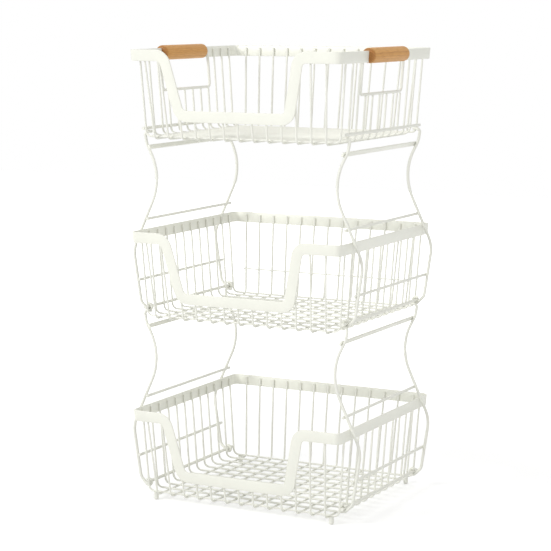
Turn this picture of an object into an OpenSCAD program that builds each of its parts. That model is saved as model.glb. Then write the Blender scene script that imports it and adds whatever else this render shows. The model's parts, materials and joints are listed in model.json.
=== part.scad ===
// Three-tier fruit basket stand of coated steel wire, with wooden grips on the top basket.
// The front faces -Y. The origin is on the table, under the middle of the stand.

/* [Baskets] */
// Width of a basket over its rim
basket_w = 320; // [300:2:340]
// Depth of a basket over its rim
basket_d = 294; // [280:2:310]
// Height of a basket, from the underside of its floor to the top of its rim
basket_h = 122; // [115:1:130]
// Width of the floor, between the sharp corners with the side walls
floor_w = 294; // [286:1:298]
// Depth of the floor, between the sharp corners with the front and back walls
floor_d = 255; // [248:1:258]
// Height from one basket to the next
tier_pitch = 247.5; // [240:0.5:256]

/* [Rim] */
// Height of the rim strip
strip_h = 15.5; // [12:0.5:18]
// Thickness of the rim strip and the front plate
strip_t = 2.4; // [1.6:0.2:3]
// Radius of the rim's rear corners
rear_r = 10; // [6:1:14]
// Radius of the rim's front corners
front_r = 21; // [14:1:21]
// How far the edges of the strip are eased
strip_edge = 0.7; // [0.3:0.1:0.75]

/* [Scoop] */
// Depth of the opening, from the rim's top edge down to the band
scoop_depth = 82; // [70:1:86]
// Distance between the middles of the legs at the rim
scoop_top_w = 203; // [190:1:210]
// Distance between the middles of the legs at the band
scoop_bottom_w = 165; // [150:1:175]
// Radius of the plate's bends at its middle line
scoop_r = 14; // [10:1:18]
// How far the opening stands to the right of the middle
scoop_shift = -4; // [-5:1:5]
// How far the front plate's ends stop short of the sides of the rim
ear_inset = 2; // [1:0.5:6]
// Height of the wires that end behind the legs
leg_wire_h = 64; // [50:1:75]

/* [Wires] */
// Thickness of the basket wires
wire_d = 2.8; // [2.4:0.1:3]
// Radius of the bends at the foot of the walls, at the wire's middle
bend_r = 8; // [6:0.5:9]
// Number of long wires, front to back
long_count = 13; // [11:2:13]
// Distance from the outermost long wires to the side corners of the floor
long_inset = 17.2; // [16:0.1:20]
// Distance from the outermost long wires' ends to the outside of the rim
long_rim_inset = 22.7; // [22.6:0.1:27]
// Number of cross wires, side to side
cross_count = 12; // [10:2:12]
// Distance from the outermost cross wires to the front and back corners of the floor
cross_inset = 6.8; // [6.6:0.1:9]
// Distance from the outermost cross wires' ends to the outside of the rim
cross_rim_inset = 23.8; // [23:0.1:26]
// How far the wires end below the upper edge of the strip
wire_drop = 3.5; // [2:0.5:6]
// Thickness of the thin wire on the middle basket's back wall
back_wire_d = 2; // [1.5:0.1:2.4]
// Height of that wire over the underside of the floor
back_wire_rise = 39; // [30:1:50]
// Distance from that wire's ends to the side corners of the floor
back_wire_inset = 12; // [10:1:20]

/* [Side rods] */
// Thickness of the side rods
rod_d = 4.5; // [4:0.1:5]
// Height of a rod's middle over the underside of the floor
rod_rise = 14.5; // [14:0.5:16]
// Distance from a side rod's ends to the front and back of the rim
rod_inset = 25; // [22:1:29]

/* [Side frames] */
// Thickness of the frames' bent wires
frame_wire_d = 4.2; // [4:0.1:4.6]
// Distance from a frame's bent wires to the front and back of the rim
frame_inset = 34; // [33.5:0.5:36]
// Lean of a frame over the rim, in degrees
frame_slope = 25; // [22:0.5:28]
// Length of the slanted run from the eye to the heel
heel_run = 13.4; // [12:0.2:15]
// Height of the outer bend over the underside of the floor
bulge_rise = 94; // [88:1:98]
// Height of the inner bend over the underside of the floor
waist_rise = 194; // [188:1:198]
// Height of the upper bend over the underside of the floor
neck_rise = 240; // [236:0.5:243]
// How far the upper bend stands outside the side rods
neck_out = 1.5; // [0:0.1:3]
// How far a hook reaches in past the middle of the side rod above
tip_in = 7; // [5:0.5:8]
// Radius of the heel's bend
heel_r = 12; // [8:1:16]
// Radius of the outer bend
bulge_r = 45; // [30:1:55]
// Radius of the inner bend
waist_r = 75; // [50:1:85]
// Radius of the upper bend
neck_r = 20; // [10:1:24]
// Radius of the hook's bend
head_r = 5; // [4:0.5:6]
// Thickness of the round bars
bar_d = 4; // [3:0.1:5]
// Width of the flat bar
flat_bar_w = 6; // [5:0.5:8]
// Thickness of the flat bar
flat_bar_t = 3; // [2:0.2:4]
// How far the bars reach past the bent wires
bar_over = 2; // [1:0.5:6]
// Height at which the middle bar meets the bent wires
mid_bar_rise = 51; // [40:1:60]
// Height at which the lower bar meets the bent wires
low_bar_rise = 139; // [129:0.5:142]
// Height at which the flat bar meets the bent wires
flat_bar_rise = 234.5; // [228:0.5:235]

/* [Grips] */
// Thickness of a wooden grip
grip_d = 20.5; // [19:0.5:23]
// Length of a grip
grip_len = 114; // [90:1:116]
// How far the grips and the hand holes stand to the front of the middle
grip_shift = 6; // [3:0.5:7]
// Wood left above the strip
grip_cover = 4; // [3:0.5:5]
// Rounding of the grip's ends
grip_edge = 4; // [2:0.5:6]
// Width of the hand hole between the legs of the U-wire
hole_w = 130; // [126:1:132]
// Height of the U-wire's bar over the underside of the floor
hole_rise = 64.5; // [55:0.5:75]
// Thickness of the U-wire
u_wire_d = 4; // [3:0.1:4.5]
// Radius of the U-wire's bends
u_wire_r = 6; // [4:0.5:9]

/* [Feet] */
// Thickness of a foot
foot_d = 6.4; // [5:0.1:7]
// Height of the floor over the table
foot_h = 7.5; // [6:0.5:14]
// Rounding of a foot's lower end
foot_edge = 1.6; // [0.8:0.1:2]
// Gap between a foot and the outermost long wire
foot_gap = 1.5; // [0.5:0.1:2]

/* [Fits] */
// Radial clearance of an eye on its rod
eye_clear = 0.08; // [0.05:0.01:0.1]
// Gap between pieces that rest on each other and come apart
rest_gap = 0.3; // [0.3:0.05:0.4]
// Gap at the welds and in the grips' slots
seat_gap = 0.1; // [0.05:0.05:0.2]

/* [Hidden] */
coat = [0.97, 0.97, 0.94];
wood = [0.80, 0.58, 0.33];
round_fn = 24;
ring_fn = 96;
tube_sides = 8;
corner_steps = 6;
edge_steps = 4;
// Largest turn between two rings of a bent wire
bend_step = 12;
// A swept wire's corners lie this far out, so that they stay inside the turned eye
tube_share = 0.97;

// How far an outward leaning wall's strip face stands from the middle of its wires
wall_inset = wire_d / 2 + seat_gap + strip_t;
long_z = wire_d / 2;
cross_z = long_z + wire_d;

function unit(v) = v / norm(v);
function turned(v, angle) = [v[0] * cos(angle) - v[1] * sin(angle), v[0] * sin(angle) + v[1] * cos(angle)];
// Lean of a wall from upright, given half the rim, half the floor and the height between them
function wall_lean(top, foot, rise) =
    atan2(top - foot, rise) - asin(wall_inset / norm([top - foot, rise]));
// Length of a wall along its slope, from the floor's sharp corner to the strip's upper edge
function wall_length(top, foot, rise) =
    sqrt(pow(top - foot, 2) + pow(rise, 2) - pow(wall_inset, 2));

end_lean = wall_lean(basket_d / 2, floor_d / 2, basket_h - long_z);
end_length = wall_length(basket_d / 2, floor_d / 2, basket_h - long_z);
side_lean = wall_lean(basket_w / 2, floor_w / 2, basket_h - cross_z);
side_length = wall_length(basket_w / 2, floor_w / 2, basket_h - cross_z);
// Distance from the sharp corner to where a bend starts
end_cut = bend_r * tan((90 - end_lean) / 2);
side_cut = bend_r * tan((90 - side_lean) / 2);
// Slope distance of the scoop band's middle line from the rim's top edge
band_down = scoop_depth + strip_h / 2;
last_long = (long_count - 1) / 2;
last_cross = (cross_count - 1) / 2;
// Distances between wires, at the floor and at the rim
long_pitch = (floor_w / 2 - long_inset) / last_long;
long_rim_pitch = (basket_w / 2 - long_rim_inset) / last_long;
cross_pitch = (floor_d / 2 - cross_inset) / last_cross;
cross_rim_pitch = (basket_d / 2 - cross_rim_inset) / last_cross;
back_wire_len = floor_w - 2 * back_wire_inset;
rod_len = basket_d - 2 * rod_inset;
frame_span = basket_d - 2 * frame_inset;

rod_x = floor_w / 2 + (rod_rise - cross_z) * tan(side_lean)
    + (wire_d / 2 + seat_gap + rod_d / 2) / cos(side_lean);
eye_r = rod_d / 2 + eye_clear + frame_wire_d / 2;
// Lower and upper frames stand side by side on the middle basket's rods
frame_stagger = (frame_wire_d + rest_gap) / 2;

function level_z(level) = foot_h + level * tier_pitch;

// A bend of a flat path: points and directions on the arc that rounds corner b
function bend(a, b, c, r) =
    let (u = unit(b - a), v = unit(c - b), turn = atan2(cross(u, v), u * v),
        side = sign(turn), out = side * r * turned(u, 90),
        centre = b - u * r * tan(abs(turn) / 2) + out, steps = ceil(abs(turn) / bend_step))
    [for (k = [0:steps]) [centre - turned(out, turn * k / steps), turned(u, turn * k / steps)]];
// A flat path with rounded corners, as points and directions
function path(corners, radii) =
    let (last = len(corners) - 1)
    concat([[corners[0], unit(corners[1] - corners[0])]],
        [for (i = [1:last - 1]) each bend(corners[i - 1], corners[i], corners[i + 1], radii[i - 1])],
        [[corners[last], unit(corners[last] - corners[last - 1])]]);
// Section of the strip: distance out from its outer face and distance down from its upper edge
strip_section = [[0, strip_edge], [0, strip_h - strip_edge], [-strip_edge, strip_h],
    [strip_edge - strip_t, strip_h], [-strip_t, strip_h - strip_edge], [-strip_t, strip_edge],
    [strip_edge - strip_t, 0], [-strip_edge, 0]];

// A solid through rings of points, which turn to the left about the way they go
module loft(rings) {
    n = len(rings[0]);
    last = len(rings) - 1;
    side_faces = [for (i = [0:last - 1]) for (k = [0:n - 1])
        let (a = i * n + k, b = i * n + (k + 1) % n)
        each [[a, a + n, b], [b, a + n, b + n]]];
    caps = [[for (k = [0:n - 1]) k], [for (k = [n - 1:-1:0]) last * n + k]];
    polyhedron([for (r = rings) each r], concat(caps, side_faces));
}

// A bent wire in the X-Z plane
module bent_wire(flat_path, d) {
    loft([for (s = flat_path)
        let (p = [s[0][0], 0, s[0][1]], m = [s[1][1], 0, -s[1][0]])
        [for (k = [0:tube_sides - 1])
            p + d / 2 * (cos(360 * k / tube_sides) * m + [0, sin(360 * k / tube_sides), 0])]]);
}

function lean_at(angle) = side_lean * pow(cos(angle), 2) + end_lean * pow(sin(angle), 2);

// One ring of the rim strip, at a point of its upper outer edge with the given outward direction
function rim_ring(x, y, angle) =
    let (lean = lean_at(angle), n = [cos(angle), sin(angle), 0],
        out = n * cos(lean) - [0, 0, sin(lean)], down = -n * sin(lean) - [0, 0, cos(lean)])
    [for (s = strip_section) [x, y, basket_h] + s[0] * out + s[1] * down];

// A quarter turn of the strip round the given middle
function rim_corner(x, y, r, start) =
    [for (k = [0:corner_steps])
        let (angle = start + 90 * k / corner_steps)
        rim_ring(x + r * cos(angle), y + r * sin(angle), angle)];

// The strip's ends lie behind the front plate
module rim(level) {
    front_x = basket_w / 2 - front_r;
    front_y = front_r + (strip_t + seat_gap) / cos(end_lean) - basket_d / 2;
    rear_x = basket_w / 2 - rear_r;
    rear_y = basket_d / 2 - rear_r;
    color(coat) translate([0, 0, level_z(level)])
        loft(concat(rim_corner(front_x, front_y, front_r, -90), rim_corner(rear_x, rear_y, rear_r, 0),
            rim_corner(-rear_x, rear_y, rear_r, 90), rim_corner(-front_x, front_y, front_r, 180)));
}

// The front plate lies in the leaning front wall; its path is across and down from the rim
module front_plate(level) {
    ear = basket_w / 2 - ear_inset;
    route = path([[-ear, strip_h / 2], [scoop_shift - scoop_top_w / 2, strip_h / 2],
        [scoop_shift - scoop_bottom_w / 2, band_down], [scoop_shift + scoop_bottom_w / 2, band_down],
        [scoop_shift + scoop_top_w / 2, strip_h / 2], [ear, strip_h / 2]],
        [scoop_r, scoop_r, scoop_r, scoop_r]);
    out = [0, -cos(end_lean), -sin(end_lean)];
    down = [0, sin(end_lean), -cos(end_lean)];
    color(coat) translate([0, -basket_d / 2, level_z(level) + basket_h])
        loft([for (s = route)
            let (across = [-s[1][1], 0, 0] + s[1][0] * down)
            [for (q = strip_section)
                [s[0][0], 0, 0] + s[0][1] * down + q[0] * out + (q[1] - strip_h / 2) * across]]);
}

// A wall wire over the +X axis: its bend starts on the floor and its leg leans outward
module wall_wire(foot, lean, cut, leg) {
    translate([foot - cut, 0, bend_r]) rotate([90, 0, 0]) rotate([0, 0, -lean]) {
        translate([bend_r, 0, 0]) rotate([-90, 0, 0])
            cylinder(d = wire_d, h = leg - cut, $fn = round_fn);
        mirror([0, 1, 0]) rotate_extrude(angle = 90 - lean, $fn = ring_fn)
            translate([bend_r, 0]) circle(d = wire_d, $fn = round_fn);
    }
}

// A row of wall wires on the +X side; each fans out from its floor wire by its own angle
module wall_row(foot, lean, cut, length, z, pitch, rim_pitch, last, tops) {
    for (k = [0:2 * last]) {
        i = k - last;
        fan = atan(i * (rim_pitch - pitch) / length);
        translate([0, i * pitch, z]) rotate([-fan, 0, 0])
            wall_wire(foot, lean, cut, tops[k]);
    }
}

full_end = end_length - wire_drop;
full_side = side_length - wire_drop;
band_end = end_length - scoop_depth - wire_drop;
leg_end = leg_wire_h / cos(end_lean);
hole_length = (hole_rise - cross_z) / cos(side_lean);
// Wires that end at the scoop's band, and those that end behind its legs
leg_wire = floor((scoop_bottom_w / 2 + strip_h / 2) / long_pitch);
function front_top(i) = i < leg_wire ? band_end : i == leg_wire ? leg_end : full_end;
function side_top(level, y) =
    level == 2 && abs(y + grip_shift) < hole_w / 2 ? hole_length - u_wire_d / 2 : full_side;

module front_wires(level) {
    color(coat) translate([0, 0, level_z(level)]) rotate([0, 0, -90])
        wall_row(floor_d / 2, end_lean, end_cut, end_length, long_z, long_pitch, long_rim_pitch,
            last_long, [for (i = [-last_long:last_long]) front_top(abs(i))]);
}

module back_wires(level) {
    color(coat) translate([0, 0, level_z(level)]) rotate([0, 0, 90])
        wall_row(floor_d / 2, end_lean, end_cut, end_length, long_z, long_pitch, long_rim_pitch,
            last_long, [for (i = [-last_long:last_long]) full_end]);
}

module side_wires(level) {
    color(coat) translate([0, 0, level_z(level)])
        wall_row(floor_w / 2, side_lean, side_cut, side_length, cross_z, cross_pitch,
            cross_rim_pitch, last_cross,
            [for (i = [-last_cross:last_cross]) side_top(level, i * cross_pitch)]);
}

module long_wires(level) {
    run = floor_d - 2 * end_cut;
    color(coat) for (i = [-last_long:last_long])
        translate([i * long_pitch, -run / 2, level_z(level) + long_z]) rotate([-90, 0, 0])
            cylinder(d = wire_d, h = run, $fn = round_fn);
}

module cross_wires(level) {
    run = floor_w - 2 * side_cut;
    color(coat) for (i = [-last_cross:last_cross])
        translate([-run / 2, i * cross_pitch, level_z(level) + cross_z]) rotate([0, 90, 0])
            cylinder(d = wire_d, h = run, $fn = round_fn);
}

module side_rods(level) {
    color(coat) for (side = [-1, 1])
        translate([side * rod_x, -rod_len / 2, level_z(level) + rod_rise]) rotate([-90, 0, 0])
            cylinder(d = rod_d, h = rod_len, $fn = round_fn);
}

module thin_wire(level) {
    up = back_wire_rise - long_z;
    y = floor_d / 2 + up * tan(end_lean)
        - (wire_d / 2 + seat_gap + back_wire_d / 2) / cos(end_lean);
    color(coat) translate([-back_wire_len / 2, y, level_z(level) + back_wire_rise])
        rotate([0, 90, 0]) cylinder(d = back_wire_d, h = back_wire_len, $fn = round_fn);
}

module feet() {
    x = last_long * long_pitch + wire_d / 2 + foot_gap + foot_d / 2;
    y = last_cross * cross_pitch;
    h = foot_h + wire_d;
    profile = concat([[0, 0]],
        [for (k = [0:edge_steps])
            let (angle = 90 * k / edge_steps)
            [foot_d / 2 - foot_edge + foot_edge * sin(angle), foot_edge - foot_edge * cos(angle)]],
        [[foot_d / 2, h], [0, h]]);
    color(coat) for (sx = [-1, 1]) for (sy = [-1, 1])
        translate([sx * x, sy * y, 0]) rotate_extrude($fn = ring_fn) polygon(profile);
}

// Places its children in the right wall's plane: X along the wall, Y up its slope, Z outward
module in_side_wall(level) {
    translate([floor_w / 2, -grip_shift, level_z(level) + cross_z]) rotate([0, side_lean, 0])
        rotate([90, 0, 90]) children();
}

module grip(level) {
    out = wire_d / 2 + seat_gap + strip_t / 2;
    up = side_length - (grip_d / 2 - grip_cover);
    r = grip_d / 2;
    profile = concat([[0, 0]],
        [for (k = [0:edge_steps])
            let (angle = 90 * k / edge_steps)
            [r - grip_edge + grip_edge * sin(angle), grip_edge - grip_edge * cos(angle)]],
        [for (k = [0:edge_steps])
            let (angle = 90 * k / edge_steps)
            [r - grip_edge + grip_edge * cos(angle), grip_len - grip_edge + grip_edge * sin(angle)]],
        [[0, grip_len]]);
    slot_h = grip_d - grip_cover + seat_gap;
    color(wood) in_side_wall(level) difference() {
        translate([-grip_len / 2, up, out]) rotate([0, 90, 0])
            rotate_extrude($fn = ring_fn) polygon(profile);
        translate([-grip_len, side_length + seat_gap - slot_h - grip_d, out - strip_t / 2 - seat_gap])
            cube([2 * grip_len, slot_h + grip_d, strip_t + 2 * seat_gap]);
    }
}

module u_wire(level) {
    x = hole_w / 2;
    color(coat) in_side_wall(level) translate([0, 0, (wire_d - u_wire_d) / 2]) {
        translate([u_wire_r - x, hole_length, 0]) rotate([0, 90, 0])
            cylinder(d = u_wire_d, h = hole_w - 2 * u_wire_r, $fn = round_fn);
        for (side = [-1, 1])
            translate([side * x, hole_length + u_wire_r, 0]) rotate([-90, 0, 0])
                cylinder(d = u_wire_d, h = full_side - hole_length - u_wire_r, $fn = round_fn);
        translate([x - u_wire_r, hole_length + u_wire_r, 0]) rotate([0, 0, -90])
            rotate_extrude(angle = 90, $fn = ring_fn)
                translate([u_wire_r, 0]) circle(d = u_wire_d, $fn = round_fn);
        translate([u_wire_r - x, hole_length + u_wire_r, 0]) rotate([0, 0, 180])
            rotate_extrude(angle = 90, $fn = ring_fn)
                translate([u_wire_r, 0]) circle(d = u_wire_d, $fn = round_fn);
    }
}

// Profile of a side frame, across and up from under the floor of the basket that carries it
eye_end = [rod_x + eye_r * cos(45), rod_rise - eye_r * sin(45)];
// The frame leans on the rim, with the resting gap between them
function lean_x(z) = basket_w / 2 + (frame_wire_d / 2 + rest_gap) / cos(frame_slope)
    - (z - basket_h) * tan(frame_slope);
heel = eye_end + heel_run * [cos(45), sin(45)];
bulge = [lean_x(bulge_rise), bulge_rise];
waist = [lean_x(waist_rise), waist_rise];
neck = [rod_x + neck_out, neck_rise];
hook_z = tier_pitch + rod_rise - rod_d / 2 - rest_gap - frame_wire_d / 2;
head = [rod_x + rod_d / 2 + rest_gap + frame_wire_d / 2, hook_z];
tip = [rod_x - tip_in, hook_z];
// The wire starts a little inside its eye
eye_lap = frame_wire_d / 6;

module frame_wire(level, side, end) {
    y = end * frame_span / 2 + (2 * level - 1) * frame_stagger;
    start = eye_end - eye_lap * [cos(45), sin(45)];
    color(coat) translate([0, y, level_z(level)]) mirror([side < 0 ? 1 : 0, 0, 0]) {
        translate([rod_x, 0, rod_rise]) rotate([90, 0, 0]) rotate([0, 0, 45])
            rotate_extrude(angle = 270, $fn = ring_fn)
                translate([eye_r, 0]) circle(d = frame_wire_d, $fn = round_fn);
        bent_wire(path([start, heel, bulge, waist, neck, head, tip],
            [heel_r, bulge_r, waist_r, neck_r, head_r]), frame_wire_d * tube_share);
    }
}

// Middle of a bar of thickness t, on the inner side of the run from a to b, where that has height z
function bar_place(a, b, z, t) =
    let (u = unit(b - a))
    a + (b - a) * (z - a[1]) / (b[1] - a[1]) + (frame_wire_d + t) / 2 * turned(u, 90);
bar_len = frame_span + frame_wire_d + 2 * bar_over;

module round_bar(level, side, place) {
    color(coat) translate([side * place[0], (2 * level - 1) * frame_stagger - bar_len / 2,
        level_z(level) + place[1]]) rotate([-90, 0, 0])
            cylinder(d = bar_d, h = bar_len, $fn = round_fn);
}

module middle_bar(level, side) {
    round_bar(level, side, bar_place(heel, bulge, mid_bar_rise, bar_d));
}

module low_bar(level, side) {
    round_bar(level, side, bar_place(bulge, waist, low_bar_rise, bar_d));
}

module flat_bar(level, side) {
    place = bar_place(waist, neck, flat_bar_rise, flat_bar_t);
    lean = atan2(neck[0] - waist[0], neck[1] - waist[1]);
    color(coat) translate([0, (2 * level - 1) * frame_stagger, level_z(level)])
        mirror([side < 0 ? 1 : 0, 0, 0]) translate([place[0], 0, place[1]]) rotate([0, lean, 0])
            cube([flat_bar_t, bar_len, flat_bar_w], center = true);
}

rim(0);  // bottom_rim
front_plate(0);  // bottom_front_plate
long_wires(0);  // bottom_long_wires
cross_wires(0);  // bottom_cross_wires
front_wires(0);  // bottom_front_wires
back_wires(0);  // bottom_back_wires
mirror([1, 0, 0]) side_wires(0);  // bottom_left_wires
side_wires(0);  // bottom_right_wires
side_rods(0);  // bottom_side_rods
feet();
rim(1);  // middle_rim
front_plate(1);  // middle_front_plate
long_wires(1);  // middle_long_wires
cross_wires(1);  // middle_cross_wires
front_wires(1);  // middle_front_wires
back_wires(1);  // middle_back_wires
mirror([1, 0, 0]) side_wires(1);  // middle_left_wires
side_wires(1);  // middle_right_wires
side_rods(1);  // middle_side_rods
thin_wire(1);  // middle_thin_wire
rim(2);  // top_rim
front_plate(2);  // top_front_plate
long_wires(2);  // top_long_wires
cross_wires(2);  // top_cross_wires
front_wires(2);  // top_front_wires
back_wires(2);  // top_back_wires
mirror([1, 0, 0]) side_wires(2);  // top_left_wires
side_wires(2);  // top_right_wires
side_rods(2);  // top_side_rods
mirror([1, 0, 0]) grip(2);  // left_grip
grip(2);  // right_grip
mirror([1, 0, 0]) u_wire(2);  // left_u_wire
u_wire(2);  // right_u_wire
frame_wire(0, -1, -1);  // lower_left_front_wire
frame_wire(0, -1, 1);  // lower_left_rear_wire
flat_bar(0, -1);  // lower_left_flat_bar
low_bar(0, -1);  // lower_left_low_bar
middle_bar(0, -1);  // lower_left_middle_bar
frame_wire(0, 1, -1);  // lower_right_front_wire
frame_wire(0, 1, 1);  // lower_right_rear_wire
flat_bar(0, 1);  // lower_right_flat_bar
low_bar(0, 1);  // lower_right_low_bar
middle_bar(0, 1);  // lower_right_middle_bar
frame_wire(1, -1, -1);  // upper_left_front_wire
frame_wire(1, -1, 1);  // upper_left_rear_wire
flat_bar(1, -1);  // upper_left_flat_bar
low_bar(1, -1);  // upper_left_low_bar
middle_bar(1, -1);  // upper_left_middle_bar
frame_wire(1, 1, -1);  // upper_right_front_wire
frame_wire(1, 1, 1);  // upper_right_rear_wire
flat_bar(1, 1);  // upper_right_flat_bar
low_bar(1, 1);  // upper_right_low_bar
middle_bar(1, 1);  // upper_right_middle_bar
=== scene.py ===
"""Looks of the three-tier fruit basket stand: coated steel strip and wire, with turned oak grips."""
import json
import math

import bpy
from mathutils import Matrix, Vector

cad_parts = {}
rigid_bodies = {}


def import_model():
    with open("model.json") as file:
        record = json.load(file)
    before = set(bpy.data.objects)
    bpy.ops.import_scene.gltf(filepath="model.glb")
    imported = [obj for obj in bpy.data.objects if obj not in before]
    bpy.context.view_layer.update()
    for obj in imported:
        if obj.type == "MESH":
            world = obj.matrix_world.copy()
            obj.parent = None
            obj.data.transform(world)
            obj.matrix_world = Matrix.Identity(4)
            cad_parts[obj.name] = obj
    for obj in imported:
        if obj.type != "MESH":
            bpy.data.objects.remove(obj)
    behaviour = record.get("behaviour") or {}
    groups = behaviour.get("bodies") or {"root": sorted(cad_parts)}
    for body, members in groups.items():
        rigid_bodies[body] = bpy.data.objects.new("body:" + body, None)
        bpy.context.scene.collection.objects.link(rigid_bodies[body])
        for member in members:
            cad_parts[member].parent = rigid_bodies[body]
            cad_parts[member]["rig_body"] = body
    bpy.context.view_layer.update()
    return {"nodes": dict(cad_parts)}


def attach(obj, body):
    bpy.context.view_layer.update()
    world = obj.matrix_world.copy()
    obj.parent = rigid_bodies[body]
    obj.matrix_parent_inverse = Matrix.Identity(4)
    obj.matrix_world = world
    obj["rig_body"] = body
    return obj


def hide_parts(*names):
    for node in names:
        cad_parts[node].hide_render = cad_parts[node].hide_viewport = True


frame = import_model()

# The stand's sizes, from the part's source, in metres. A rise is a height over a floor's underside.

# A basket over its rim and over its floor, the step from one basket to the next, and the feet
BASKET_W, BASKET_D, BASKET_H = 0.320, 0.294, 0.122
FLOOR_W, FLOOR_D = 0.294, 0.255
TIER_PITCH, FOOT_H = 0.2475, 0.0075

# The strip: height, thickness and eased edges. Its front corners are as round as its rear ones here,
# and end in short straight runs that meet the front plate.
STRIP_H, STRIP_T, STRIP_EDGE = 0.0155, 0.0024, 0.0007
CORNER_R, WELD_RUN = 0.010, 0.002

# The front opening: depth, width at the rim and at the band, bends, and how far it stands aside
SCOOP_DEPTH, SCOOP_TOP_W, SCOOP_BOTTOM_W = 0.082, 0.203, 0.165
SCOOP_R, SCOOP_SHIFT = 0.014, -0.004

# Basket wires and side rods, and the gaps between pieces that touch and pieces that rest
WIRE_D, SEAT_GAP, REST_GAP = 0.0028, 0.0001, 0.0003
ROD_D, ROD_RISE = 0.0045, 0.0145

# A side frame: wire, distance between its two wires, and lean over the rim
FRAME_WIRE_D, FRAME_SPAN, FRAME_SLOPE = 0.0042, 0.226, math.radians(25)

# The eye round the side rod: clearance, where it starts, how far it goes round, and in how many steps
EYE_CLEAR, EYE_START, EYE_TURN, EYE_STEPS = 0.00008, math.radians(45), math.radians(270), 90

# Places and radii of the bends from the eye to the hook
HEEL_RUN, BULGE_RISE, WAIST_RISE, NECK_RISE = 0.0134, 0.094, 0.194, 0.240
NECK_OUT, TIP_IN = 0.0015, 0.007
HEEL_R, BULGE_R, WAIST_R, NECK_R, HEAD_R = 0.012, 0.045, 0.075, 0.020, 0.005

# Bars of a side frame: sections, how far they reach past the wires, and where they cross them
BAR_D, FLAT_BAR_W, FLAT_BAR_T, BAR_OVER = 0.004, 0.006, 0.003, 0.002
MID_BAR_RISE, LOW_BAR_RISE, FLAT_BAR_RISE = 0.051, 0.139, 0.2345

# Grips: thickness, length, wood over the strip, and how far they stand to the front of the middle
GRIP_D, GRIP_LEN, GRIP_COVER, GRIP_SHIFT = 0.0205, 0.114, 0.004, 0.006

# Eased ends and edges of the frame wires, the bars and the grips
WIRE_END_EDGE, BAR_END_EDGE, FLAT_BAR_EDGE, GRIP_EDGE = 0.0007, 0.0008, 0.0006, 0.004
EDGE_STEPS, GRIP_EDGE_STEPS = 3, 6

# How finely arcs, paths and stock are cut
ARC_STEP, SAME_PLACE = math.radians(3), 1e-6
RIM_STEP, PLATE_STEP, WIRE_PATH_STEP, WIRE_STEP = 0.0012, 0.0015, 0.0008, 0.0012
WIRE_SIDES, BAR_SIDES, GRIP_SIDES = 20, 28, 64
SMOOTH_BELOW, GRIP_SMOOTH_BELOW = math.radians(40), math.radians(30)

BASKETS = ("bottom", "middle", "top")
TOP_LEVEL = BASKETS.index("top")
TIERS = ("lower", "upper")
SIDES = ("left", "right")

LONG_Z = WIRE_D / 2
CROSS_Z = LONG_Z + WIRE_D
WALL_INSET = WIRE_D / 2 + SEAT_GAP + STRIP_T


def wall_lean(top, foot, rise):
    """Lean of a wall's wires, from the floor's corner to their place inside the strip."""
    return math.atan2(top - foot, rise) - math.asin(WALL_INSET / math.hypot(top - foot, rise))


def wall_length(top, foot, rise):
    """Distance along a wall's wires from the floor's corner to beside the rim's top edge."""
    return math.sqrt((top - foot) ** 2 + rise ** 2 - WALL_INSET ** 2)


END_LEAN = wall_lean(BASKET_D / 2, FLOOR_D / 2, BASKET_H - LONG_Z)
SIDE_LEAN = wall_lean(BASKET_W / 2, FLOOR_W / 2, BASKET_H - CROSS_Z)
SIDE_LENGTH = wall_length(BASKET_W / 2, FLOOR_W / 2, BASKET_H - CROSS_Z)
ROD_X = (FLOOR_W / 2 + (ROD_RISE - CROSS_Z) * math.tan(SIDE_LEAN)
         + (WIRE_D / 2 + SEAT_GAP + ROD_D / 2) / math.cos(SIDE_LEAN))
EYE_R = ROD_D / 2 + EYE_CLEAR + FRAME_WIRE_D / 2
FRAME_STAGGER = (FRAME_WIRE_D + REST_GAP) / 2


def level_z(level):
    return FOOT_H + level * TIER_PITCH


# Bench tools

def pick(*objects):
    """Selects only these objects and makes the first one active."""
    if bpy.context.object and bpy.context.object.mode != "OBJECT":
        bpy.ops.object.mode_set(mode="OBJECT")
    bpy.ops.object.select_all(action="DESELECT")
    for o in objects:
        o.select_set(True)
    bpy.context.view_layer.objects.active = objects[0]


def into_mesh(piece):
    """Puts the place of a piece into its mesh."""
    pick(piece)
    bpy.ops.object.transform_apply(location=True, rotation=True, scale=True)


def use(piece, kind, **settings):
    """Adds a modifier, sets it and applies it."""
    pick(piece)
    modifier = piece.modifiers.new(kind.title(), kind)
    for key, value in settings.items():
        setattr(modifier, key, value)
    bpy.ops.object.modifier_apply(modifier=modifier.name)


def choose_all(piece):
    """Enters edit mode with the whole piece selected."""
    pick(piece)
    bpy.ops.object.mode_set(mode="EDIT")
    bpy.ops.mesh.select_all(action="SELECT")


def choose_edges(piece, wanted):
    """Enters edit mode with only the edges selected that the test on their two ends wants."""
    pick(piece)
    bpy.ops.object.mode_set(mode="EDIT")
    bpy.ops.mesh.select_mode(type="EDGE")
    bpy.ops.mesh.select_all(action="DESELECT")
    bpy.ops.object.mode_set(mode="OBJECT")
    verts = piece.data.vertices
    for e in piece.data.edges:
        e.select = wanted(verts[e.vertices[0]].co, verts[e.vertices[1]].co)
    bpy.ops.object.mode_set(mode="EDIT")


def out_of_edit():
    bpy.ops.object.mode_set(mode="OBJECT")


def smooth(piece, below=SMOOTH_BELOW):
    """Shades the edges smooth whose faces turn by less than an angle."""
    pick(piece)
    bpy.ops.object.shade_smooth_by_angle(angle=below)


def turn(piece, radians, axis):
    """Turns a piece about an axis through the origin, in its mesh."""
    choose_all(piece)
    bpy.ops.transform.rotate(value=-radians, orient_axis=axis, center_override=(0, 0, 0))
    out_of_edit()


def shift(piece, move):
    """Moves a piece, in its mesh."""
    choose_all(piece)
    bpy.ops.transform.translate(value=move)
    out_of_edit()


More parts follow.
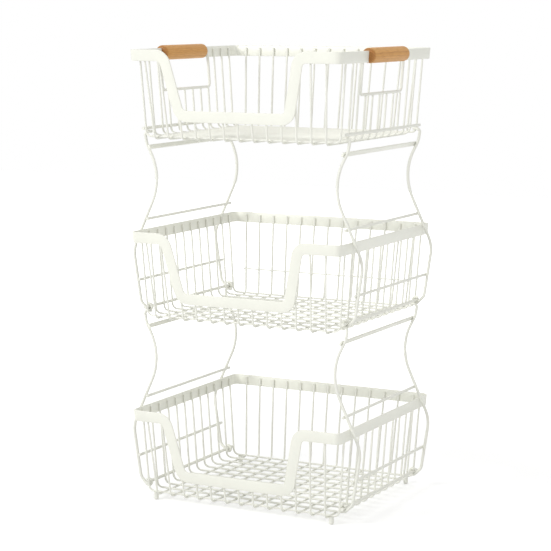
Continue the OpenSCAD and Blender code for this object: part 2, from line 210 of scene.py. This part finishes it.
def twin(piece, name, side="right"):
    """A copy with its own mesh, mirrored when it is for the left side."""
    pick(piece)
    bpy.ops.object.duplicate()
    copy = bpy.context.object
    copy.name = name
    copy.data.name = name
    if side == "left":
        choose_all(copy)
        bpy.ops.transform.mirror(constraint_axis=(True, False, False), center_override=(0, 0, 0))
        bpy.ops.mesh.normals_make_consistent(inside=False)
        out_of_edit()
    return copy


# Bent stock

def rounded_path(corners, radii):
    """Points of a flat path whose corners are rounded."""
    points = [Vector(corners[0])]
    for a, b, c, r in zip(corners, corners[1:], corners[2:], radii):
        a, b, c = Vector(a), Vector(b), Vector(c)
        u, v = (b - a).normalized(), (c - b).normalized()
        angle = math.atan2(u.x * v.y - u.y * v.x, u.dot(v))
        side = 1 if angle > 0 else -1
        start = b - u * r * math.tan(abs(angle) / 2)
        centre = start + Vector((-u.y, u.x)) * r * side
        arm = start - centre
        count = max(2, math.ceil(abs(angle) / ARC_STEP))
        for k in range(count + 1):
            t = angle * k / count
            points.append(centre + Vector((arm.x * math.cos(t) - arm.y * math.sin(t),
                                           arm.x * math.sin(t) + arm.y * math.cos(t))))
    points.append(Vector(corners[-1]))
    return points


def even(points, spacing):
    """The same path in even steps, and its length."""
    points = [p for k, p in enumerate(points) if k == 0 or (p - points[k - 1]).length > SAME_PLACE]
    lengths = [0]
    for a, b in zip(points, points[1:]):
        lengths.append(lengths[-1] + (b - a).length)
    total = lengths[-1]
    count = max(2, round(total / spacing))
    out, k = [], 0
    for i in range(count + 1):
        s = total * i / count
        while k < len(lengths) - 2 and lengths[k + 1] < s:
            k += 1
        share = (s - lengths[k]) / (lengths[k + 1] - lengths[k])
        out.append(points[k].lerp(points[k + 1], share))
    return out, total


def bend_to(piece, points, tilts=None):
    """Bends a straight piece along X so that it follows the points."""
    data = bpy.data.curves.new("bending_jig", "CURVE")
    data.dimensions = "3D"
    data.twist_mode = "Z_UP"
    spline = data.splines.new("POLY")
    spline.points.add(len(points) - 1)
    for k, (p, q) in enumerate(zip(spline.points, points)):
        p.co = (q[0], q[1], q[2] if len(q) > 2 else 0, 1)
        p.tilt = tilts[k] if tilts else 0
    jig = bpy.data.objects.new("bending_jig", data)
    bpy.context.scene.collection.objects.link(jig)
    use(piece, "CURVE", object=jig, deform_axis="POS_X")
    bpy.data.objects.remove(jig)
    bpy.data.curves.remove(data)


def cut_lengthwise_edges(bar, run, parts):
    """Cuts the edges along X into even parts, where they all are about as long as the run."""
    longer = 0.6 * run
    choose_edges(bar, lambda a, b: abs(a.x - b.x) > longer)
    bpy.ops.mesh.subdivide(number_cuts=max(1, parts - 1))
    out_of_edit()


def cut_across(bar, length, spacing):
    """Cuts a straight bar across in even short lengths, in two rounds of at most 100 cuts each."""
    count = max(2, round(length / spacing))
    coarse = math.ceil(math.sqrt(count))
    cut_lengthwise_edges(bar, length, coarse)
    cut_lengthwise_edges(bar, length / coarse, round(count / coarse))


def flat_stock(name, length, lo, hi, spacing):
    """A straight strip along X with eased edges, cut across for bending."""
    bpy.ops.mesh.primitive_cube_add(
        size=1, location=(length / 2, (lo[0] + hi[0]) / 2, (lo[1] + hi[1]) / 2),
        scale=(length, hi[0] - lo[0], hi[1] - lo[1]))
    strip = bpy.context.object
    strip.name = name
    into_mesh(strip)
    choose_edges(strip, lambda a, b: abs(a.x - b.x) > length / 2)
    bpy.ops.mesh.bevel(offset=STRIP_EDGE, segments=EDGE_STEPS, profile=0.5)
    out_of_edit()
    cut_across(strip, length, spacing)
    return strip


def round_stock(name, length, diameter, sides, edge, from_x=0):
    """A straight round wire or bar along X, with eased ends."""
    bpy.ops.mesh.primitive_cylinder_add(
        vertices=sides, radius=diameter / 2, depth=length,
        location=(from_x + length / 2, 0, 0), rotation=(0, math.pi / 2, 0))
    wire = bpy.context.object
    wire.name = name
    into_mesh(wire)
    choose_edges(wire, lambda a, b: abs(a.x - b.x) < length / 2)
    bpy.ops.mesh.bevel(offset=edge, segments=EDGE_STEPS, profile=0.5)
    out_of_edit()
    return wire


# Material tools

# Sockets of a Mix node that mixes colours
MIX_SHARE, MIX_BASE, MIX_TINT, MIX_RESULT = 0, 6, 7, 2


def surface(name):
    material = bpy.data.materials.new(name)
    material.use_nodes = True
    tree = material.node_tree
    shader = tree.nodes["Principled BSDF"]
    return material, tree, shader


def node(tree, kind, **settings):
    """Adds a node and sets its sockets and options."""
    made = tree.nodes.new(kind)
    for key, value in settings.items():
        if key in made.inputs:
            made.inputs[key].default_value = value
        else:
            setattr(made, key, value)
    return made


def noise(tree, place, scale, detail, roughness):
    made = node(tree, "ShaderNodeTexNoise", Scale=scale, Detail=detail, Roughness=roughness)
    tree.links.new(place, made.inputs["Vector"])
    return made.outputs["Fac"]


def ramp(tree, source, stops):
    """Colours for a value, from stops of a place and a colour."""
    made = tree.nodes.new("ShaderNodeValToRGB")
    elements = made.color_ramp.elements
    while len(elements) < len(stops):
        elements.new(0.5)
    for element, (place, colour) in zip(elements, stops):
        element.position = place
        element.color = (*colour, 1)
    tree.links.new(source, made.inputs["Fac"])
    return made.outputs["Color"]


def spread(tree, source, low, high, start=0.0, stop=1.0):
    """Goes from low to high while the source goes from start to stop."""
    made = node(tree, "ShaderNodeMapRange")
    made.inputs["From Min"].default_value = start
    made.inputs["From Max"].default_value = stop
    made.inputs["To Min"].default_value = low
    made.inputs["To Max"].default_value = high
    tree.links.new(source, made.inputs["Value"])
    return made.outputs["Result"]


def darkened(tree, base):
    """A Mix node that multiplies the base colour by a tint."""
    made = node(tree, "ShaderNodeMix", data_type="RGBA", blend_type="MULTIPLY")
    tree.links.new(base, made.inputs[MIX_BASE])
    return made


def bump(tree, height, strength, distance, under=None):
    made = node(tree, "ShaderNodeBump", Strength=strength, Distance=distance)
    tree.links.new(height, made.inputs["Height"])
    if under is not None:
        tree.links.new(under, made.inputs["Normal"])
    return made.outputs["Normal"]


# Finishes

# Tones of the coat, and the share of the tone that is left in the duller clouds
STRIP_TONE = (0.865, 0.868, 0.785)
WIRE_TONE = (0.84, 0.842, 0.77)
FOOT_TONE = (0.83, 0.832, 0.76)
DULL_SHARE = 0.965

# How much smoother and rougher than its mean the coat gets
SMOOTHER, ROUGHER = 0.07, 0.09


def powder_coat(name, tone, roughness, peel_scale):
    """Warm white powder coat: a faint mottle, orange-peel texture and uneven gloss."""
    material, tree, shader = surface(name)
    place = node(tree, "ShaderNodeTexCoord").outputs["Object"]
    cloud = noise(tree, place, scale=22.0, detail=4.0, roughness=0.6)
    peel = noise(tree, place, scale=peel_scale, detail=2.0, roughness=0.5)
    speck = noise(tree, place, scale=2600.0, detail=1.0, roughness=0.4)
    dull = tuple(c * DULL_SHARE for c in tone)
    tree.links.new(ramp(tree, cloud, [(0.34, dull), (0.62, tone)]), shader.inputs["Base Color"])
    tree.links.new(spread(tree, cloud, roughness - SMOOTHER, roughness + ROUGHER),
                   shader.inputs["Roughness"])
    coarse = bump(tree, peel, strength=0.22, distance=0.00025)
    fine = bump(tree, speck, strength=0.10, distance=0.0001, under=coarse)
    tree.links.new(fine, shader.inputs["Normal"])
    shader.inputs["IOR"].default_value = 1.5
    shader.inputs["Coat Weight"].default_value = 0.12
    shader.inputs["Coat Roughness"].default_value = 0.3
    return material


# Oak: its growth rings from early to late wood, then what darkens it
EARLY_WOOD = (0.71, 0.375, 0.105)
RING_WOOD = (0.66, 0.34, 0.09)
LATE_WOOD = (0.55, 0.265, 0.065)
CLEAR = (1.0, 1.0, 1.0)
CLOUD_TINT = (0.92, 0.88, 0.82)
PORE_TINT, PORE_SHARE = (0.78, 0.70, 0.60), 0.75
# Tint of the darkened grip ends: partly end grain, partly painted shade on their rounding
END_GRAIN_SHADE_TINT = (0.62, 0.52, 0.42)

# The grain is drawn out along the grip. Its ends are darkened between these two depths, partly as end
# grain and partly as painted shade on their rounding
GRAIN_DRAW = 0.055
END_GRAIN_SHADE_DEEP, END_GRAIN_SHADE_SHALLOW = 0.0042, 0.0006


def end_grain_and_shade(tree, place):
    """Goes from zero to one over both ends of a grip: the mask of the darkened ends, partly end grain
    and partly painted shade.
    """
    apart = node(tree, "ShaderNodeSeparateXYZ")
    tree.links.new(place, apart.inputs[0])
    along = node(tree, "ShaderNodeMath", operation="ADD")
    along.inputs[1].default_value = GRIP_SHIFT
    tree.links.new(apart.outputs["Y"], along.inputs[0])
    away = node(tree, "ShaderNodeMath", operation="ABSOLUTE")
    tree.links.new(along.outputs[0], away.inputs[0])
    return spread(tree, away.outputs[0], 0.0, 1.0,
                  GRIP_LEN / 2 - END_GRAIN_SHADE_DEEP, GRIP_LEN / 2 - END_GRAIN_SHADE_SHALLOW)


def oiled_oak(name, heart):
    """Solid oak with rings round an axis along Y through its heart, pores, and ends darkened partly
    as end grain and partly as painted shade.
    """
    material, tree, shader = surface(name)
    place = node(tree, "ShaderNodeTexCoord").outputs["Object"]
    centred = node(tree, "ShaderNodeMapping", vector_type="POINT")
    centred.inputs["Location"].default_value = [-c for c in heart]
    tree.links.new(place, centred.inputs["Vector"])
    drawn = node(tree, "ShaderNodeMapping", vector_type="POINT")
    drawn.inputs["Scale"].default_value = (1.0, GRAIN_DRAW, 1.0)
    tree.links.new(centred.outputs["Vector"], drawn.inputs["Vector"])
    grain = drawn.outputs["Vector"]
    cloud = noise(tree, grain, scale=55.0, detail=3.0, roughness=0.55)
    pores = noise(tree, grain, scale=1500.0, detail=2.0, roughness=0.6)
    rings = node(tree, "ShaderNodeTexWave", wave_type="RINGS", rings_direction="Y",
                 wave_profile="SAW", Scale=115.0, Distortion=5.0, Detail=2.5)
    rings.inputs["Detail Scale"].default_value = 1.4
    tree.links.new(grain, rings.inputs["Vector"])
    wood = ramp(tree, rings.outputs["Fac"], [(0.0, EARLY_WOOD), (0.6, RING_WOOD), (1.0, LATE_WOOD)])
    clouded = darkened(tree, wood)
    clouded.inputs[MIX_SHARE].default_value = 1.0
    tree.links.new(ramp(tree, cloud, [(0.3, CLOUD_TINT), (0.7, CLEAR)]), clouded.inputs[MIX_TINT])
    pored = darkened(tree, clouded.outputs[MIX_RESULT])
    pored.inputs[MIX_SHARE].default_value = PORE_SHARE
    tree.links.new(ramp(tree, pores, [(0.36, PORE_TINT), (0.5, CLEAR)]), pored.inputs[MIX_TINT])
    # The grip's ends are darkened, partly as end grain and partly as painted shade on the rounded
    # ends
    shade_and_grain_ends = darkened(tree, pored.outputs[MIX_RESULT])
    shade_and_grain_ends.inputs[MIX_TINT].default_value = (*END_GRAIN_SHADE_TINT, 1)
    tree.links.new(end_grain_and_shade(tree, place), shade_and_grain_ends.inputs[MIX_SHARE])
    tree.links.new(shade_and_grain_ends.outputs[MIX_RESULT], shader.inputs["Base Color"])
    tree.links.new(spread(tree, pores, 0.62, 0.44), shader.inputs["Roughness"])
    tree.links.new(bump(tree, pores, strength=0.25, distance=0.0002), shader.inputs["Normal"])
    return material


STRIP_COAT = powder_coat("coated_strip", STRIP_TONE, roughness=0.40, peel_scale=900.0)
WIRE_COAT = powder_coat("coated_wire", WIRE_TONE, roughness=0.44, peel_scale=1170.0)
CAP_COAT = powder_coat("coated_foot", FOOT_TONE, roughness=0.5, peel_scale=1170.0)


def dress(piece, material):
    piece.data.materials.clear()
    piece.data.materials.append(material)


def stand_in_for(piece, cad_node, material):
    """Dresses a piece and puts it in the place of a CAD node, on the node's body."""
    dress(piece, material)
    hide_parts(cad_node)
    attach(piece, frame["nodes"][cad_node]["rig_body"])


# Strips

def rim_strip(name, level):
    """The flat strip round the sides and the back, which leans with the walls to the front plate."""
    x, y = BASKET_W / 2, BASKET_D / 2
    end = x - CORNER_R - WELD_RUN
    corners = [(end, -y), (x, -y), (x, y), (-x, y), (-x, -y), (-end, -y)]
    flat, length = even(rounded_path(corners, [CORNER_R] * 4), RIM_STEP)
    z = level_z(level) + BASKET_H
    tilts = []
    for k, p in enumerate(flat):
        run = flat[min(k + 1, len(flat) - 1)] - flat[max(k - 1, 0)]
        across = (run.y / run.length) ** 2
        tilts.append(SIDE_LEAN * across + END_LEAN * (1 - across))
    strip = flat_stock(name, length, (0, -STRIP_H), (STRIP_T, 0), RIM_STEP)
    bend_to(strip, [(p.x, p.y, z) for p in flat], tilts)
    smooth(strip)
    return strip


def dipped_plate(name, level):
    """The front plate: strip that dips in a U in the front wall, and meets the rim's ends flush."""
    ear = BASKET_W / 2 - CORNER_R - WELD_RUN
    half = STRIP_H / 2
    band = -(SCOOP_DEPTH + half)
    left, right = SCOOP_SHIFT - SCOOP_TOP_W / 2, SCOOP_SHIFT + SCOOP_TOP_W / 2
    low_left, low_right = SCOOP_SHIFT - SCOOP_BOTTOM_W / 2, SCOOP_SHIFT + SCOOP_BOTTOM_W / 2
    corners = [(-ear, -half), (left, -half), (low_left, band),
               (low_right, band), (right, -half), (ear, -half)]
    flat, length = even(rounded_path(corners, [SCOOP_R] * 4), PLATE_STEP)
    plate = flat_stock(name, length, (-half, -STRIP_T), (half, 0), PLATE_STEP)
    bend_to(plate, flat)
    turn(plate, math.pi / 2 + END_LEAN, "X")
    shift(plate, (0, -BASKET_D / 2, level_z(level) + BASKET_H))
    smooth(plate)
    return plate


for level, basket in enumerate(BASKETS):
    stand_in_for(rim_strip(f"{basket}_rim_strip", level), f"{basket}_rim", STRIP_COAT)
    stand_in_for(dipped_plate(f"{basket}_dipped_plate", level), f"{basket}_front_plate",
                 STRIP_COAT)


# Side frames

def lean_x(z):
    """Where the slanted run of a frame wire stands at a height, just outside the rim."""
    return (BASKET_W / 2 + (FRAME_WIRE_D / 2 + REST_GAP) / math.cos(FRAME_SLOPE)
            - (z - BASKET_H) * math.tan(FRAME_SLOPE))


# The eye runs on into the heel along its tangent
EYE_LAST = EYE_START + EYE_TURN
EYE_END = (ROD_X + EYE_R * math.cos(EYE_LAST), ROD_RISE + EYE_R * math.sin(EYE_LAST))
HEEL = (EYE_END[0] - HEEL_RUN * math.sin(EYE_LAST), EYE_END[1] + HEEL_RUN * math.cos(EYE_LAST))
BULGE = (lean_x(BULGE_RISE), BULGE_RISE)
WAIST = (lean_x(WAIST_RISE), WAIST_RISE)
NECK = (ROD_X + NECK_OUT, NECK_RISE)
HOOK_Z = TIER_PITCH + ROD_RISE - ROD_D / 2 - REST_GAP - FRAME_WIRE_D / 2
HEAD = (ROD_X + ROD_D / 2 + REST_GAP + FRAME_WIRE_D / 2, HOOK_Z)
TIP = (ROD_X - TIP_IN, HOOK_Z)
BAR_LEN = FRAME_SPAN + FRAME_WIRE_D + 2 * BAR_OVER


def frame_wire(name):
    """One bent wire of the right lower frame in the plane Y = 0, with its eye and its hook."""
    eye = []
    for k in range(EYE_STEPS + 1):
        angle = EYE_START + EYE_TURN * k / EYE_STEPS
        eye.append(Vector((ROD_X + EYE_R * math.cos(angle), ROD_RISE + EYE_R * math.sin(angle))))
    run = rounded_path([EYE_END, HEEL, BULGE, WAIST, NECK, HEAD, TIP],
                       [HEEL_R, BULGE_R, WAIST_R, NECK_R, HEAD_R])
    flat, length = even(eye + run[1:], WIRE_PATH_STEP)
    wire = round_stock(name, length, FRAME_WIRE_D, WIRE_SIDES, WIRE_END_EDGE)
    cut_across(wire, length - 2 * WIRE_END_EDGE, WIRE_STEP)
    bend_to(wire, flat)
    turn(wire, math.pi / 2, "X")
    shift(wire, (0, 0, FOOT_H))
    smooth(wire)
    return wire


def bar_place(a, b, z, thick):
    """Where a bar's middle lies, on the inner side of the wire's run from a to b, at a height."""
    ux, uz = b[0] - a[0], b[1] - a[1]
    out = (FRAME_WIRE_D + thick) / 2 / math.hypot(ux, uz)
    return a[0] + ux * (z - a[1]) / uz - uz * out, z + ux * out


def round_bar(name, place):
    """A straight round bar of the right lower frame."""
    bar = round_stock(name, BAR_LEN, BAR_D, BAR_SIDES, BAR_END_EDGE, from_x=-BAR_LEN / 2)
    turn(bar, math.pi / 2, "Z")
    shift(bar, (place[0], 0, FOOT_H + place[1]))
    smooth(bar)
    return bar


def flat_bar(name, place):
    """The flat bar of the right lower frame, which leans with the wires between waist and neck."""
    bpy.ops.mesh.primitive_cube_add(size=1, scale=(FLAT_BAR_T, BAR_LEN, FLAT_BAR_W))
    bar = bpy.context.object
    bar.name = name
    into_mesh(bar)
    choose_edges(bar, lambda a, b: True)
    bpy.ops.mesh.bevel(offset=FLAT_BAR_EDGE, segments=EDGE_STEPS, profile=0.5)
    out_of_edit()
    turn(bar, math.atan2(NECK[0] - WAIST[0], NECK[1] - WAIST[1]), "Y")
    shift(bar, (place[0], 0, FOOT_H + place[1]))
    smooth(bar)
    return bar


# Each shape is made once, for the right lower frame, and copied to all four frames
first_wire = frame_wire("pattern_wire")
first_flat = flat_bar("pattern_flat_bar", bar_place(WAIST, NECK, FLAT_BAR_RISE, FLAT_BAR_T))
first_low = round_bar("pattern_low_bar", bar_place(BULGE, WAIST, LOW_BAR_RISE, BAR_D))
first_middle = round_bar("pattern_middle_bar", bar_place(HEEL, BULGE, MID_BAR_RISE, BAR_D))
FRAME_PARTS = (("front_wire", first_wire, -FRAME_SPAN / 2, WIRE_COAT, "coated_wire"),
               ("rear_wire", first_wire, FRAME_SPAN / 2, WIRE_COAT, "coated_wire"),
               ("flat_bar", first_flat, 0, STRIP_COAT, "coated_strip"),
               ("low_bar", first_low, 0, WIRE_COAT, "coated_wire"),
               ("middle_bar", first_middle, 0, WIRE_COAT, "coated_wire"))
for tier, tier_name in enumerate(TIERS):
    stagger = FRAME_STAGGER if tier_name == "upper" else -FRAME_STAGGER
    for side in SIDES:
        for part_name, pattern, y, coat, slot_name in FRAME_PARTS:
            cad_name = f"{tier_name}_{side}_{part_name}"
            piece = twin(pattern, f"{cad_name}_bent", side)
            shift(piece, (0, y + stagger, tier * TIER_PITCH))
            stand_in_for(piece, cad_name, coat)
for pattern in (first_wire, first_flat, first_low, first_middle):
    bpy.data.objects.remove(pattern)


# Grips

GRIP_UP = SIDE_LENGTH - (GRIP_D / 2 - GRIP_COVER)
GRIP_OUT = WIRE_D / 2 + SEAT_GAP + STRIP_T / 2
GRIP_X = FLOOR_W / 2 + GRIP_UP * math.sin(SIDE_LEAN) + GRIP_OUT * math.cos(SIDE_LEAN)
GRIP_Z = level_z(TOP_LEVEL) + CROSS_Z + GRIP_UP * math.cos(SIDE_LEAN) - GRIP_OUT * math.sin(SIDE_LEAN)

# Middle of the growth rings, which passes below each grip and nearer the middle of the basket
RIGHT_HEART = (GRIP_X - 0.012, 0.02, GRIP_Z - 0.021)
LEFT_HEART = (0.010 - GRIP_X, -0.03, GRIP_Z - 0.019)


def wooden_grip(name):
    """The right grip: a turned rod with soft ends, and a slot open at the bottom for the strip."""
    bpy.ops.mesh.primitive_cylinder_add(vertices=GRIP_SIDES, radius=GRIP_D / 2, depth=GRIP_LEN,
                                        rotation=(math.pi / 2, 0, 0))
    grip = bpy.context.object
    grip.name = name
    into_mesh(grip)
    choose_edges(grip, lambda a, b: abs(a.y - b.y) < GRIP_LEN / 2)
    bpy.ops.mesh.bevel(offset=GRIP_EDGE, segments=GRIP_EDGE_STEPS, profile=0.5)
    out_of_edit()
    bpy.ops.mesh.primitive_cube_add(size=1)
    cutter = bpy.context.object
    top = GRIP_D / 2 - GRIP_COVER + SEAT_GAP
    cutter.scale = (STRIP_T + 2 * SEAT_GAP, GRIP_LEN + 2 * GRIP_D, top + GRIP_D)
    cutter.location = (0, 0, (top - GRIP_D) / 2)
    into_mesh(cutter)
    use(grip, "BOOLEAN", object=cutter, operation="DIFFERENCE", solver="EXACT")
    bpy.data.objects.remove(cutter)
    turn(grip, SIDE_LEAN, "Y")
    shift(grip, (GRIP_X, -GRIP_SHIFT, GRIP_Z))
    smooth(grip, GRIP_SMOOTH_BELOW)
    return grip


right_grip = wooden_grip("right_wooden_grip")
left_grip = twin(right_grip, "left_wooden_grip", "left")
stand_in_for(right_grip, "right_grip", oiled_oak("oak_right", RIGHT_HEART))
stand_in_for(left_grip, "left_grip", oiled_oak("oak_left", LEFT_HEART))

# CAD nodes that keep their shape
for name, cad in frame["nodes"].items():
    if not cad.hide_render:
        dress(cad, CAP_COAT if name == "feet" else WIRE_COAT)


# Studio

# The floor glows more from the near distance to the far one, so that only the shadow stays
FLOOR_SIZE, FLOOR_DROP, FLOOR_TONE = 8, 0.0002, (0.85, 0.85, 0.85)
NEAR_GLOW, FAR_GLOW, GLOW_NEAR, GLOW_FAR = 0.30, 1.0, 0.4, 1.3
ROOM_LIGHT, SEEN_ROOM = 0.52, 1.0
LAMP_AIM = Vector((0, 0, 0.3))

# The camera, fitted to the rim corners, wires and feet in the photograph
CAMERA_PLACE = (1.20687, -2.29813, 0.68477)
CAMERA_DOWN, CAMERA_ROUND = math.radians(7.0633), math.radians(27.9437)
LENS_MM, SENSOR_MM, SHIFT_UP, CLIP_END = 122.630, 36, -0.07, 30


def seen_directly(tree):
    """One for rays from the camera and for those that gloss or glass sends on, else zero."""
    path = node(tree, "ShaderNodeLightPath")
    seen = path.outputs["Is Camera Ray"]
    for ray in ("Is Glossy Ray", "Is Transmission Ray"):
        either = node(tree, "ShaderNodeMath", operation="MAXIMUM")
        tree.links.new(seen, either.inputs[0])
        tree.links.new(path.outputs[ray], either.inputs[1])
        seen = either.outputs[0]
    return seen


def stage_white():
    """Dull white that glows where it is seen directly, and more so further from the stand."""
    material, tree, shader = surface("studio_floor")
    shader.inputs["Base Color"].default_value = (*FLOOR_TONE, 1)
    shader.inputs["Roughness"].default_value = 0.9
    shader.inputs["Specular IOR Level"].default_value = 0.0
    shader.inputs["Emission Color"].default_value = (1, 1, 1, 1)
    place = node(tree, "ShaderNodeTexCoord").outputs["Object"]
    reach = node(tree, "ShaderNodeVectorMath", operation="LENGTH")
    tree.links.new(place, reach.inputs[0])
    glow = node(tree, "ShaderNodeMath", operation="MULTIPLY")
    tree.links.new(spread(tree, reach.outputs["Value"], NEAR_GLOW, FAR_GLOW, GLOW_NEAR, GLOW_FAR),
                   glow.inputs[0])
    tree.links.new(seen_directly(tree), glow.inputs[1])
    tree.links.new(glow.outputs[0], shader.inputs["Emission Strength"])
    return material


def white_room():
    """An even room, white where it is seen directly and softer as light on the stand."""
    world = bpy.data.worlds.new("studio")
    bpy.context.scene.world = world
    world.use_nodes = True
    tree = world.node_tree
    back = tree.nodes["Background"]
    back.inputs["Color"].default_value = (1, 1, 1, 1)
    tree.links.new(spread(tree, seen_directly(tree), ROOM_LIGHT, SEEN_ROOM), back.inputs["Strength"])


def lamp(name, place, size, power):
    """A square area lamp that looks at the stand."""
    bpy.ops.object.light_add(type="AREA", location=place)
    light = bpy.context.object
    light.name = name
    light.data.size = size
    light.data.energy = power
    light.rotation_euler = (LAMP_AIM - Vector(place)).to_track_quat("-Z", "Y").to_euler()


bpy.ops.mesh.primitive_plane_add(size=FLOOR_SIZE, location=(0, 0, -FLOOR_DROP))
floor = bpy.context.object
floor.name = "studio_floor"
floor.data.materials.append(stage_white())
white_room()
lamp("key_lamp", place=(-2.4, -3.4, 2.5), size=1.6, power=102)
lamp("fill_lamp", place=(3.7, -2.3, 1.7), size=2.4, power=38)
lamp("top_lamp", place=(0.2, 1.0, 4.4), size=2.4, power=34)

camera_data = bpy.data.cameras.new("photo_camera")
camera_data.lens = LENS_MM
camera_data.sensor_width = SENSOR_MM
camera_data.shift_y = SHIFT_UP
camera_data.clip_end = CLIP_END
camera = bpy.data.objects.new("photo_camera", camera_data)
camera.location = CAMERA_PLACE
camera.rotation_euler = (math.pi / 2 - CAMERA_DOWN, 0, CAMERA_ROUND)
bpy.context.scene.collection.objects.link(camera)
bpy.context.scene.camera = camera
bpy.context.scene.view_settings.view_transform = "Standard"
